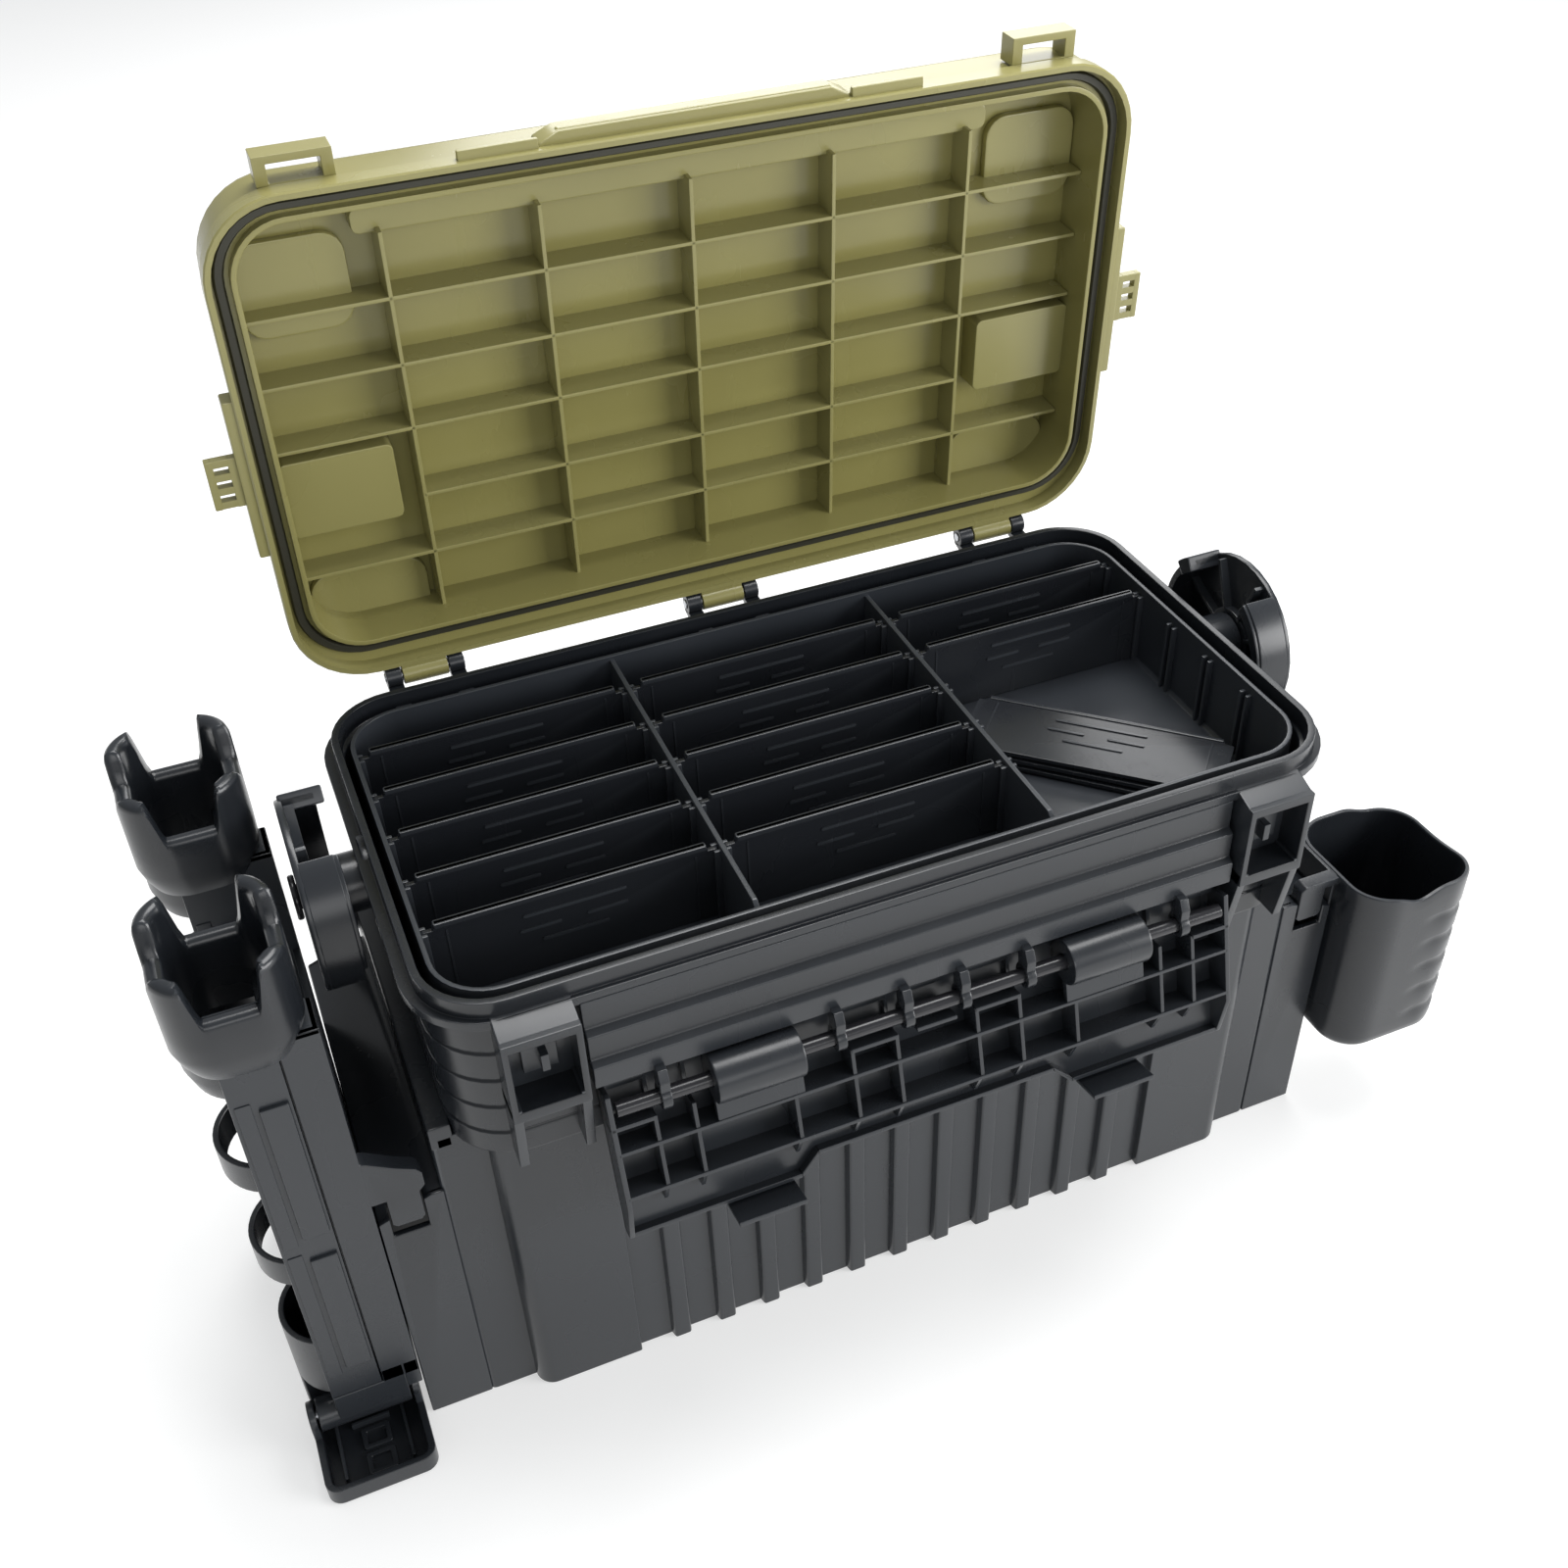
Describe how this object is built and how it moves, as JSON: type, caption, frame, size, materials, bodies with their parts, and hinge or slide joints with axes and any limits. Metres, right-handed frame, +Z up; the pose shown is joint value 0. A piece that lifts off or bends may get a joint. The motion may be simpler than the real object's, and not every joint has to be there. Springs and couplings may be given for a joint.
{
  "type": "fishing tackle box",
  "caption": "Fishing tackle box with hinged lid, drop-front latch, divided lift-out tray, folding carry handle, side rod holders and a hang-on cup.",
  "frame": {"origin": "middle of the tub's flat base, on the ground", "axes": "+X to the right seen from the latch side, +Y towards the lid hinge, +Z up"},
  "size_m": [0.5475, 0.2723, 0.4691],
  "materials": {
    "black_shell": "satin moulded polypropylene",
    "olive_lid": "satin moulded polypropylene, olive",
    "tray_black": "smooth moulded polypropylene",
    "divider_black": "fine textured plastic",
    "seal": "matt rubber",
    "black_pin": "smooth acetal",
    "steel_pin": "drawn steel wire"
  },
  "bodies": {
    "tub": {"tub": "black_shell", "side_bracket": "black_shell", "latch_pin": "black_pin", "lid_hinge_pins": "steel_pin", "handle_pivots": "black_pin", "foot_pin": "steel_pin"},
    "lid": {"lid": "olive_lid", "lid_gasket": "seal"},
    "latch_flap": {"latch_flap": "black_shell"},
    "carry_handle": {"carry_handle": "black_shell"},
    "foot": {"foot": "black_shell"},
    "cup": {"cup": "black_shell"},
    "rod_holder_front": {"rod_holder_front": "black_shell"},
    "rod_holder_rear": {"rod_holder_rear": "black_shell"},
    "tray": {"tray": "tray_black", "loose_divider_1": "divider_black", "loose_divider_2": "divider_black", "loose_divider_3": "divider_black"},
    "divider_left_1": {"divider_left_1": "divider_black"},
    "divider_left_2": {"divider_left_2": "divider_black"},
    "divider_left_3": {"divider_left_3": "divider_black"},
    "divider_left_4": {"divider_left_4": "divider_black"},
    "divider_left_5": {"divider_left_5": "divider_black"},
    "divider_middle_1": {"divider_middle_1": "divider_black"},
    "divider_middle_2": {"divider_middle_2": "divider_black"},
    "divider_middle_3": {"divider_middle_3": "divider_black"},
    "divider_middle_4": {"divider_middle_4": "divider_black"},
    "divider_middle_5": {"divider_middle_5": "divider_black"},
    "divider_right_1": {"divider_right_1": "divider_black"},
    "divider_right_2": {"divider_right_2": "divider_black"}
  },
  "joints": [
    {"name": "lid_hinge", "type": "hinge", "parent": "tub", "child": "lid", "pos_m": [0, 0.111, 0.245], "axis": [1, 0, 0], "range_deg": [0, 86.9]},
    {"name": "latch_hinge", "type": "hinge", "parent": "tub", "child": "latch_flap", "pos_m": [0, -0.109, 0.188], "axis": [-1, 0, 0], "range_deg": [0, 165]},
    {"name": "handle_swing", "type": "hinge", "parent": "tub", "child": "carry_handle", "pos_m": [0, 0.01, 0.225], "axis": [1, 0, 0], "range_deg": [0, 57]},
    {"name": "foot_fold", "type": "hinge", "parent": "tub", "child": "foot", "pos_m": [-0.243, -0.07, 0.017], "axis": [-1, 0, 0], "range_deg": [0, 90]},
    {"name": "cup_lift", "type": "slide", "parent": "tub", "child": "cup", "axis": [0, 0, 1], "range_m": [0, 0.03]},
    {"name": "rod_holder_front_lift", "type": "slide", "parent": "tub", "child": "rod_holder_front", "axis": [0, 0, 1], "range_m": [0, 0.06]},
    {"name": "rod_holder_rear_lift", "type": "slide", "parent": "tub", "child": "rod_holder_rear", "axis": [0, 0, 1], "range_m": [0, 0.06]},
    {"name": "tray_lift", "type": "slide", "parent": "tub", "child": "tray", "axis": [0, 0, -1], "range_m": [-0.11, 0]},
    {"name": "divider_left_1_lift", "type": "slide", "parent": "tray", "child": "divider_left_1", "axis": [0, 0, -1], "range_m": [-0.07, 0]},
    {"name": "divider_left_2_lift", "type": "slide", "parent": "tray", "child": "divider_left_2", "axis": [0, 0, -1], "range_m": [-0.07, 0]},
    {"name": "divider_left_3_lift", "type": "slide", "parent": "tray", "child": "divider_left_3", "axis": [0, 0, -1], "range_m": [-0.07, 0]},
    {"name": "divider_left_4_lift", "type": "slide", "parent": "tray", "child": "divider_left_4", "axis": [0, 0, -1], "range_m": [-0.07, 0]},
    {"name": "divider_left_5_lift", "type": "slide", "parent": "tray", "child": "divider_left_5", "axis": [0, 0, -1], "range_m": [-0.07, 0]},
    {"name": "divider_middle_1_lift", "type": "slide", "parent": "tray", "child": "divider_middle_1", "axis": [0, 0, -1], "range_m": [-0.07, 0]},
    {"name": "divider_middle_2_lift", "type": "slide", "parent": "tray", "child": "divider_middle_2", "axis": [0, 0, -1], "range_m": [-0.07, 0]},
    {"name": "divider_middle_3_lift", "type": "slide", "parent": "tray", "child": "divider_middle_3", "axis": [0, 0, -1], "range_m": [-0.07, 0]},
    {"name": "divider_middle_4_lift", "type": "slide", "parent": "tray", "child": "divider_middle_4", "axis": [0, 0, -1], "range_m": [-0.07, 0]},
    {"name": "divider_middle_5_lift", "type": "slide", "parent": "tray", "child": "divider_middle_5", "axis": [0, 0, -1], "range_m": [-0.07, 0]},
    {"name": "divider_right_1_lift", "type": "slide", "parent": "tray", "child": "divider_right_1", "axis": [0, 0, -1], "range_m": [-0.07, 0]},
    {"name": "divider_right_2_lift", "type": "slide", "parent": "tray", "child": "divider_right_2", "axis": [0, 0, -1], "range_m": [-0.07, 0]}
  ]
}
